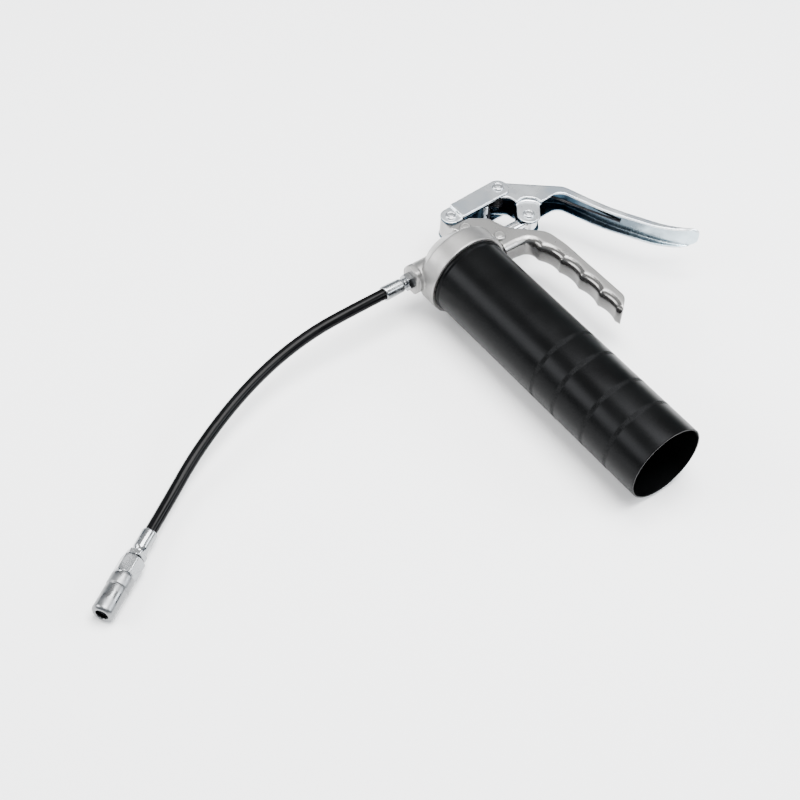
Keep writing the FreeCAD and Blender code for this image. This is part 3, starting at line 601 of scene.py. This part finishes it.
class GREASEGUN_OT_finishes(bpy.types.Operator):
    """Makes the finishes and gives each CAD node its own"""

    bl_idname = "greasegun.finishes"
    bl_label = "Finishes"

    def execute(self, context):
        wanted = context.scene.gun_finishes
        casting, fitting, steel = wanted.casting, tuple(wanted.fitting), tuple(wanted.steel)
        FINISHES.update({
            "cast": cast_finish("cast_alloy", tuple(casting), 0.42),
            "paint": paint_finish(tuple(wanted.paint)),
            "zinc": zinc_finish("zinc_plate", tuple(wanted.zinc), 0.26, (1, 6, 1)),
            "grip": cast_finish("smooth_casting", scaled(casting, 1.15), 0.30),
            # Darker, glossier copy of the casting: painted shade on the grip's finger side.
            "finger_shade": cast_finish("finger_side_painted_shade", scaled(casting, 0.55), 0.20),
            # Painted shade and painted reflection for the inner sides of the lever and the link.
            "zinc_painted_shade": painted_shade_finish(tuple(wanted.painted_shade_dark), tuple(wanted.painted_shade_pale)),
            "pins": zinc_finish("zinc_pins", scaled(fitting, 1.6), 0.24),
            "fitting": bright_finish("plated_fittings", fitting, 0.20),
            "chrome": bright_finish("polished_chrome", tuple(wanted.chrome), 0.12),
            "sleeve": bright_finish("ground_sleeve", tuple(wanted.sleeve), 0.28),
            "ground": bright_finish("ground_steel", steel, 0.25),
            "brass": bright_finish("plain_brass", tuple(wanted.brass), 0.25),
            "hose": rubber_finish("hose_cover", tuple(wanted.hose), 0.12, 0.0),
            "seal": rubber_finish("seal_rubber", tuple(wanted.seal), 0.6, 0.0),
            "spring": rubber_finish("black_wire", tuple(wanted.spring), 0.28, 0.3),
        })
        for part in frame["record"]["subparts"]:
            node = frame["nodes"][part["node"]]
            node.data.materials.clear()
            node.data.materials.append(FINISHES[SLOT_FINISHES[part["material_slot"]]])
        return {"FINISHED"}


# ---------------------------------------------------------------- camera and stage

CAMERA_PLACE = (0.5977, -0.5760, 0.8388)
CAMERA_TURN = (40.197, -3.343, 52.698)  # degrees about X, Y and Z
LAMP_AIM = (0.03, -0.05, 0)
FLOOR_HALF = 6.0
# Colour of the surroundings from level with the floor to overhead, by height.
SKY = ((0.0, (0.10, 0.13, 0.17)), (0.30, (0.35, 0.40, 0.46)), (0.75, (1.0, 1.0, 1.0)))


class GREASEGUN_OT_camera(bpy.types.Operator):
    """Places the camera above the barrel's open end"""

    bl_idname = "greasegun.camera"
    bl_label = "Camera"

    def execute(self, context):
        data = bpy.data.cameras.new("camera")
        data.sensor_width = 36
        data.lens = context.scene.gun_stage.lens
        data.clip_start = 0.05
        camera = bpy.data.objects.new("camera", data)
        context.scene.collection.objects.link(camera)
        camera.location = CAMERA_PLACE
        camera.rotation_euler = [math.radians(turn) for turn in CAMERA_TURN]
        context.scene.camera = camera
        return {"FINISHED"}


def lamp(context, name, place, power, width, height, colour=(1, 1, 1)):
    """Rectangular lamp that shines at the gun."""
    data = bpy.data.lights.new(name, "AREA")
    data.shape = "RECTANGLE"
    data.size, data.size_y = width, height
    data.energy = power
    data.color = colour
    light = bpy.data.objects.new(name, data)
    light.location = place
    towards = Vector(LAMP_AIM) - Vector(place)
    light.rotation_euler = towards.to_track_quat("-Z", "Y").to_euler()
    context.scene.collection.objects.link(light)


class GREASEGUN_OT_stage(bpy.types.Operator):
    """Pale floor, graded surroundings and soft lamps"""

    bl_idname = "greasegun.stage"
    bl_label = "Stage"

    def execute(self, context):
        colour = tuple(context.scene.gun_finishes.floor)
        finish, tree, shader = new_finish("floor", colour, 0.0, 0.9)
        gloss = between(tree, grain(tree, scale=3), 0.85, 0.95)
        tree.links.new(gloss, shader.inputs["Roughness"])
        corners = [(x * FLOOR_HALF, y * FLOOR_HALF, FLOOR_Z)
                   for x, y in ((-1, -1), (1, -1), (1, 1), (-1, 1))]
        link_mesh("floor", corners, [(0, 1, 2, 3)], finish)

        world = bpy.data.worlds.new("studio")
        world.use_nodes = True
        nodes, links = world.node_tree.nodes, world.node_tree.links
        place = nodes.new("ShaderNodeTexCoord")
        parts = nodes.new("ShaderNodeSeparateXYZ")
        ramp = nodes.new("ShaderNodeValToRGB")
        ramp.color_ramp.elements.new(0.5)
        for element, (height, colour) in zip(ramp.color_ramp.elements, SKY):
            element.position = height
            element.color = (*colour, 1)
        links.new(place.outputs["Generated"], parts.inputs["Vector"])
        links.new(parts.outputs["Z"], ramp.inputs["Fac"])
        links.new(ramp.outputs["Color"], nodes["Background"].inputs["Color"])
        nodes["Background"].inputs["Strength"].default_value = 1.0
        context.scene.world = world

        power = context.scene.gun_stage
        lamp(context, "key", (-0.65, -1.15, 0.75), power.key, 1.1, 0.6)
        lamp(context, "overhead", (0.10, 0.15, 1.60), power.overhead, 1.2, 1.2)
        lamp(context, "rim", (0.75, 0.85, 0.65), power.rim, 0.9, 0.35, (0.92, 0.96, 1.0))
        return {"FINISHED"}


# ---------------------------------------------------------------- hose

PORT = (PUMP_X, 0, 0)  # the fittings at the port are measured from here along -Y

# Centreline of the hose from the near ferrule to the far one, in metres.
HOSE_ROUTE = [
    (PUMP_X, -0.059, 0.0), (PUMP_X, -0.087, 0.0), (-0.0189, -0.120, -0.0025),
    (-0.0135, -0.157, -0.0065), (-0.002, -0.195, -0.0115), (0.0145, -0.233, -0.0175),
    (0.03036, -0.2614, -0.0239), (0.0452, -0.2851, -0.0239),
]
HOSE_END = Vector(HOSE_ROUTE[-1])
HOSE_HEADING = (HOSE_END - Vector(HOSE_ROUTE[-2])).normalized()


BORE = 0.0018  # radius of the way through the fittings
FERRULE_SHELL = 0.0042  # radius beyond which a ferrule is crimped
CRIMP_DIES, CRIMP_DEPTH = 8, 0.012


def ferrule_profile(start, length, hose_radius):
    """Crimped ferrule from its neck to its mouth round the hose."""
    neck = [(0.0, BORE), (0.0, 0.0036), (0.0016, 0.0036), (0.0028, 0.0045), (0.0040, 0.0049),
            (0.0090, 0.0050)]
    end, stop = start + length, start + length - 0.002
    profile = [(start + along, radius) for along, radius in neck]
    profile += [(end - 0.0008, 0.0052), (end, 0.0049), (end, hose_radius), (stop, hose_radius),
                (stop, BORE), profile[0]]
    return profile


def crimp(angle, along, radius):
    """Slight flats that the crimping dies leave."""
    if radius < FERRULE_SHELL:
        return radius
    return radius * (1 - CRIMP_DEPTH * abs(math.sin(CRIMP_DIES * angle)))


class GREASEGUN_OT_hose(bpy.types.Operator):
    """Black hose with its two crimped ferrules, the port adapter and the coupler"""

    bl_idname = "greasegun.hose"
    bl_label = "Hose"

    def execute(self, context):
        wanted = context.scene.gun_hose
        radius = wanted.diameter / 2
        hose = wire("hose_cover", HOSE_ROUTE, radius, FINISHES["hose"], "NURBS")
        hose.data.bevel_resolution = 10
        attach(hose, "gun")
        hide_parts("hose")

        adapter = lathe("port_adapter", [
            (0.0277, 0.0034), (0.0277, 0.00475), (0.0357, 0.00475), (0.0357, 0.0058),
            (0.0361, 0.0064), (0.0402, 0.0064), (0.0407, 0.0056), (0.0410, 0.0040),
            (0.0410, BORE), (0.0292, BORE), (0.0292, 0.0034), (0.0277, 0.0034),
        ], PORT, (0, -1, 0), FINISHES["fitting"], shape=hexagonal(0.011, 0.0357, 0.0410),
            segments=144)
        near = lathe("near_ferrule_crimped", ferrule_profile(0.041, 0.018, radius), PORT,
                     (0, -1, 0), FINISHES["fitting"], shape=crimp)
        for piece, node in ((adapter, "hose_adapter"), (near, "near_ferrule")):
            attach(piece, "gun")
            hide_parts(node)
        coupler = build_coupler(radius)
        return {"FINISHED"}


def build_coupler(hose_radius):
    """Far ferrule with its hexagonal collar, coupler body and sleeve."""
    length = 0.017
    ferrule = [(length - along, radius)
               for along, radius in ferrule_profile(0.0, length, hose_radius)]
    far = lathe("far_ferrule_crimped", ferrule, HOSE_END, HOSE_HEADING, FINISHES["fitting"],
                shape=crimp)
    collar = lathe("collar_nut", [
        (0.0170, BORE), (0.0170, 0.0052), (0.0177, 0.0068), (0.0203, 0.0069), (0.0210, 0.0058),
        (0.0213, 0.0046), (0.0220, 0.0046), (0.0220, BORE), (0.0170, BORE),
    ], HOSE_END, HOSE_HEADING, FINISHES["fitting"], shape=hexagonal(0.012, 0.0170, 0.0220),
        segments=144)
    collar.parent = far
    body = lathe("coupler_hexagon", [
        (0.0220, BORE), (0.0220, 0.0066), (0.0228, 0.0079), (0.0345, 0.0081), (0.0354, 0.0066),
        (0.0360, 0.0064), (0.0360, 0.0053), (0.0420, 0.0053), (0.0420, 0.0050), (0.0402, 0.0050),
        (0.0402, BORE), (0.0220, BORE),
    ], HOSE_END, HOSE_HEADING, FINISHES["fitting"], shape=hexagonal(0.014, 0.0220, 0.0360),
        segments=144)
    sleeve = lathe("coupler_shell", [
        (0.0360, 0.0054), (0.0360, 0.0069), (0.0367, 0.0076), (0.0443, 0.0076), (0.0450, 0.0069),
        (0.0454, 0.0068), (0.0458, 0.0073), (0.0628, 0.0073), (0.0638, 0.0070), (0.0650, 0.0057),
        (0.0650, 0.0045), (0.0645, 0.0041), (0.0610, 0.0041), (0.0610, 0.0054), (0.0360, 0.0054),
    ], HOSE_END, HOSE_HEADING, FINISHES["sleeve"], segments=128)
    for piece, node, finish in ((far, "far_ferrule", "zinc_fittings"),
                                (body, "coupler_body", "zinc_fittings"),
                                (sleeve, "coupler_sleeve", "coupler_chrome")):
        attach(piece, "gun")
        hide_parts(node)
    return [far, collar, body, sleeve]


# ---------------------------------------------------------------- castings

# Line of the grip's finger side from its tip to its root, in metres, and its bends.
FINGER_LINE = eased(
    [(0.0985, 0.0624), (0.0856, 0.0594), (0.0770, 0.0632), (0.0679, 0.0592), (0.0581, 0.0630),
     (0.0485, 0.0588), (0.0388, 0.0626), (0.0294, 0.0580), (0.0215, 0.0602), (0.0120, 0.0534),
     (0.0032, 0.0536), (0.0016, 0.0430), (0.0016, 0.0324)],
    (0.002, 0.022, 0.0025, 0.022, 0.0025, 0.022, 0.0025, 0.018, 0.0025, 0.006, 0.008))
GRIP_HALF = 0.0088


def finger_side(x, y, z):
    """1 on the grip's finger side, 0 at its cheeks and round the channel on its palm side."""
    past_cheeks = np.clip((x - 0.002) / 0.006, 0, 1)
    short_of_palm = np.clip((0.0665 - y) / 0.003, 0, 1)
    return past_cheeks * short_of_palm


class GREASEGUN_OT_castings(bpy.types.Operator):
    """Head and fixed grip as soft-edged castings, with painted shade on the grip's finger side"""

    bl_idname = "greasegun.castings"
    bl_label = "Castings"

    def execute(self, context):
        wanted = context.scene.gun_casting
        head = recast("pump_head", "head_casting", wanted.head_grain, wanted.rounding,
                      FINISHES["cast"])
        grip = recast("fixed_grip", "grip_casting", wanted.grip_grain, wanted.rounding,
                      FINISHES["grip"])
        fold_edges(grip, FINGER_LINE, GRIP_HALF, wanted.finger_bend)
        relax(grip, wanted.finger_rounding, finger_side)

        def finger_shade_faces(spots, normals):
            """Faces near the finger line and turned towards it, which get the darker painted
            shade.
            """
            deep, outward = line_gap(spots, FINGER_LINE)
            facing = (normals[:, :2] * outward).sum(axis=1)
            return (deep < wanted.finger_bend) & (facing > 0.25) & (spots[:, 0] > 0.001)

        # The grip's finger side gets the painted shade.
        repaint(grip, finger_shade_faces, FINISHES["finger_shade"])
        for piece, node in ((head, "pump_head"), (grip, "fixed_grip")):
            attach(piece, "gun")
            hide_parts(node)
        return {"FINISHED"}


RIVET_SHANK, RIVET_GROOVE = 0.0025, 0.0002
PIN_SHANK, PIN_HEAD, PIN_GROOVE = 0.003, 0.0015, 0.0005


def headed(name, middle, half, shank, head, height, groove, finish):
    """Round pin along Z with domed heads of the given radius and height.

    half is where the heads start, and a groove rings the middle of each."""
    top = half + height
    side = [(top, 0.0), (top, head * 0.40), (top - groove, head * 0.46),
            (top - groove, head * 0.62), (top - height * 0.05, head * 0.70),
            (top - height * 0.15, head * 0.86), (top - height * 0.45, head * 0.96),
            (top - height * 0.8, head), (half, head), (half, shank)]
    profile = [(-along, radius) for along, radius in side] + side[::-1]
    return lathe(name, profile, middle, (0, 0, 1), finish, segments=72, soft=0.0002)


class GREASEGUN_OT_pins(bpy.types.Operator):
    """Rivets of the grip, the three pivot pins and the spring peg"""

    bl_idname = "greasegun.pins"
    bl_label = "Pins"

    def execute(self, context):
        for node in ("front_rivet", "rear_rivet"):
            low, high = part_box(node)
            head = (high[0] - low[0]) / 2
            piece = headed(f"{node}_domed", middle_of(node), GRIP_HALF, RIVET_SHANK, head,
                           high[2] - GRIP_HALF, RIVET_GROOVE, FINISHES["cast"])
            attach(piece, "gun")
            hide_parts(node)
        for node, body in (("base_pin", "gun"), ("fulcrum_pin", "link"), ("rod_pin", "lever")):
            low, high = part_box(node)
            head = (high[0] - low[0]) / 2
            piece = headed(f"{node}_riveted", middle_of(node), high[2] - PIN_HEAD, PIN_SHANK, head,
                           PIN_HEAD, PIN_GROOVE, FINISHES["pins"])
            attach(piece, body)
            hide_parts(node)
        low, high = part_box("spring_peg")
        foot, top = low[2], high[2]
        peg = lathe("spring_peg_turned", [
            (foot, 0.0), (foot, 0.0022), (top - 0.0032, 0.0022), (top - 0.0028, 0.0017),
            (top - 0.0022, 0.0017), (top - 0.0018, 0.0022), (top - 0.0008, 0.0021),
            (top - 0.0002, 0.0012), (top, 0.0),
        ], middle_of("spring_peg") * Vector((1, 1, 0)), (0, 0, 1), FINISHES["pins"], segments=48)
        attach(peg, "link")
        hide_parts("spring_peg")
        return {"FINISHED"}


# ---------------------------------------------------------------- pressings

# Outer line of the lever's web from its front end to the thumb end, in metres, and its bends.
LEVER_TOP = eased(
    [(-0.0477, 0.0529), (-0.0611, 0.0633), (-0.0255, 0.1084), (0.008, 0.1205), (0.048, 0.1439),
     (0.0622, 0.1606)], (0.007, 0.014, 0.150, 0.070))[1:]
LEVER_HALF, LEVER_SHEET = 0.0092, 0.0018
LINK_SHEET = 0.0016
LINK_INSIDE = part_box("fulcrum_link")[1][2] - LINK_SHEET


def between_walls(spots, normals, half):
    """Faces nearer the middle than half that don't look out through a wall."""
    outward = normals[:, 2] * np.sign(spots[:, 2])
    return (np.abs(spots[:, 2]) < half) & (outward < 0.4)


class GREASEGUN_OT_pressings(bpy.types.Operator):
    """Lever and fulcrum link as plated pressings, with painted shade on their inner sides"""

    bl_idname = "greasegun.pressings"
    bl_label = "Pressings"

    def execute(self, context):
        wanted = context.scene.gun_pressing
        lever = recast("lever", "lever_pressing", wanted.grain, wanted.rounding,
                       FINISHES["zinc"])
        fold_edges(lever, LEVER_TOP, LEVER_HALF, wanted.bend)
        relax(lever, wanted.rounding)

        def channel(spots, normals):
            """Inner side of the lever's walls and web, which gets the painted shade."""
            deep = line_gap(spots, LEVER_TOP)[0]
            inside = between_walls(spots, normals, LEVER_HALF - LEVER_SHEET * 0.7)
            return inside & (deep > LEVER_SHEET * 0.6)

        # The lever's inner side gets the painted shade.
        repaint(lever, channel, FINISHES["zinc_painted_shade"])
        link = recast("fulcrum_link", "link_pressing", wanted.grain, wanted.rounding,
                      FINISHES["zinc"])

        def link_shade_faces(spots, normals):
            """Inner side of the link, which is open towards the barrel; it gets the painted shade.
            """
            return between_walls(spots, normals, LINK_INSIDE) & (normals[:, 0] > -0.5)

        # The link's inner side gets the painted shade.
        repaint(link, link_shade_faces, FINISHES["zinc_painted_shade"])
        for piece, node, body in ((lever, "lever", "lever"), (link, "fulcrum_link", "link")):
            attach(piece, body)
            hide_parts(node)
        return {"FINISHED"}


# Where the coil's wire starts and ends round the pin, in degrees, and how it is divided.
COIL_FIRST, COIL_LAST, COIL_STEPS = 142.4, 228.3, 240
SHORT_LEG_BEND, SHORT_LEG_END = 0.004, 0.0172
# The long leg from beside the coil to its end under the web, in metres.
LONG_LEG = [
    (-0.0295, 0.0958, 0.0022), (-0.0285, 0.0973, 0.002), (-0.0268, 0.0984, 0.0019),
    (0.0185, 0.1233, 0.0001), (0.0195, 0.1239, 0.0),
]


class GREASEGUN_OT_spring(bpy.types.Operator):
    """Torsion spring: coil with the short leg, and the long leg under the lever's web"""

    bl_idname = "greasegun.spring"
    bl_label = "Return spring"

    def execute(self, context):
        wanted = context.scene.gun_spring
        radius, thick, reach = wanted.coil_radius, wanted.wire_radius, wanted.coil_half
        first, last = math.radians(COIL_FIRST), math.radians(COIL_LAST)
        sweep = wanted.turns * 2 * math.pi + last - first
        coil = []
        for step in range(COIL_STEPS + 1):
            share = step / COIL_STEPS
            angle = first + sweep * share
            coil.append(FULCRUM + Vector((radius * math.cos(angle), radius * math.sin(angle),
                                          reach - 2 * reach * share)))
        start, end = coil[0], coil[-1]
        away = Vector((-math.sin(last), math.cos(last), 0))
        coil += [end + away * SHORT_LEG_BEND, end + away * SHORT_LEG_END]
        body = wire("spring_coil", coil, thick, FINISHES["spring"])
        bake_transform(body)
        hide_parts("return_spring")

        ahead = Vector((math.sin(first), -math.cos(first), 0))
        leg = [start, start + ahead * 0.006 + Vector((0, 0, -0.0002)), *LONG_LEG]
        long_leg = wire("spring_long_leg", leg, thick, FINISHES["spring"])
        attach(long_leg, "lever")
        return {"FINISHED"}


# ---------------------------------------------------------------- barrel

BAND_STARTS = (0.099, 0.120, 0.148, 0.171)
BAND_WIDTH = 0.004
BAND_ROWS = 20
# Where the swaged ring rises, stands and ends.
RING = (-0.0002, 0.0006, 0.0024, 0.0036)
LIP = 0.0003  # rounding of the barrel's open end
KNURL_SLANT, KNURL_FADE = 15, 5


class GREASEGUN_OT_barrel(bpy.types.Operator):
    """Painted barrel with a swaged ring and four knurled bands"""

    bl_idname = "greasegun.barrel"
    bl_label = "Barrel"

    def execute(self, context):
        wanted = context.scene.gun_barrel
        low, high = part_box("barrel_tube")
        outer, inner = wanted.radius, wanted.radius - wanted.wall
        back, front, ring_top = low[0], high[0], high[1]
        chamfer = 0.0004
        profile = [(back, outer - chamfer), (back + chamfer, outer)]
        profile += zip(RING, (outer, ring_top, ring_top, outer))
        for start in BAND_STARTS:
            profile += [(start + BAND_WIDTH * row / BAND_ROWS, outer)
                        for row in range(BAND_ROWS + 1)]
        profile += [(front - LIP, outer), (front, outer - LIP), (front, inner + 0.0002),
                    (front - LIP, inner), (back, inner), profile[0]]

        def knurl(angle, along, radius):
            """Crossed ridges on the outside of the bands, fading at their edges."""
            for start in BAND_STARTS:
                share = (along - start) / BAND_WIDTH
                if -1e-6 <= share <= 1 + 1e-6 and radius > inner + wanted.wall * 0.4:
                    fade = max(0.0, min(1.0, KNURL_FADE * share, KNURL_FADE * (1 - share)))
                    round_turn, slant = wanted.knurls * angle, KNURL_SLANT * share
                    wave = math.sin(round_turn + slant) * math.sin(round_turn - slant)
                    return radius + wanted.knurl_depth * fade * wave
            return radius

        barrel = lathe("barrel_shell", profile, (0, 0, 0), (1, 0, 0), FINISHES["paint"],
                       segments=960, shape=knurl, soft=0)
        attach(barrel, "barrel")
        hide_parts("barrel_tube")
        return {"FINISHED"}


class GREASEGUN_OT_inner_parts(bpy.types.Operator):
    """Small bevels on the edges of the CAD nodes that stay in view"""

    bl_idname = "greasegun.inner_parts"
    bl_label = "Inner parts"

    def execute(self, context):
        for node in ("piston_rod", "gland_nut", "coupler_jaws", "coupler_seal",
                     "cartridge_seal"):
            edge = frame["nodes"][node].modifiers.new("edge", "BEVEL")
            edge.width = 0.0003
            edge.segments = 2
            edge.limit_method = "ANGLE"
            edge.angle_limit = math.radians(40)
        return {"FINISHED"}


# ---------------------------------------------------------------- panel


class GREASEGUN_PT_build(bpy.types.Panel):
    """Settings and steps of the grease gun"""

    bl_label = "Grease gun"
    bl_idname = "GREASEGUN_PT_build"
    bl_space_type = "VIEW_3D"
    bl_region_type = "UI"
    bl_category = "Grease gun"

    def draw(self, context):
        for group in SETTINGS:
            box = self.layout.box()
            for name in getattr(SETTINGS[group], "__annotations__", {}):
                box.prop(getattr(context.scene, group), name)
        for step in STEPS:
            self.layout.operator(step.bl_idname)


SETTINGS = {
    "gun_finishes": FinishSettings,
    "gun_casting": CastingSettings,
    "gun_pressing": PressingSettings,
    "gun_spring": SpringSettings,
    "gun_barrel": BarrelSettings,
    "gun_hose": HoseSettings,
    "gun_stage": StageSettings,
}
STEPS = (
    GREASEGUN_OT_camera, GREASEGUN_OT_finishes, GREASEGUN_OT_hose, GREASEGUN_OT_castings,
    GREASEGUN_OT_pins, GREASEGUN_OT_pressings, GREASEGUN_OT_spring, GREASEGUN_OT_barrel,
    GREASEGUN_OT_inner_parts, GREASEGUN_OT_stage,
)


def register():
    """Registers the settings, the steps and the panel."""
    for group, settings in SETTINGS.items():
        bpy.utils.register_class(settings)
        setattr(bpy.types.Scene, group, bpy.props.PointerProperty(type=settings))
    for item in (*STEPS, GREASEGUN_PT_build):
        bpy.utils.register_class(item)


def unregister():
    """Takes them away again."""
    for item in reversed((*STEPS, GREASEGUN_PT_build)):
        bpy.utils.unregister_class(item)
    for group, settings in SETTINGS.items():
        delattr(bpy.types.Scene, group)
        bpy.utils.unregister_class(settings)


def main():
    """Runs every step in order."""
    register()
    for step in STEPS:
        module, name = step.bl_idname.split(".")
        getattr(getattr(bpy.ops, module), name)()


if __name__ == "__main__":
    main()
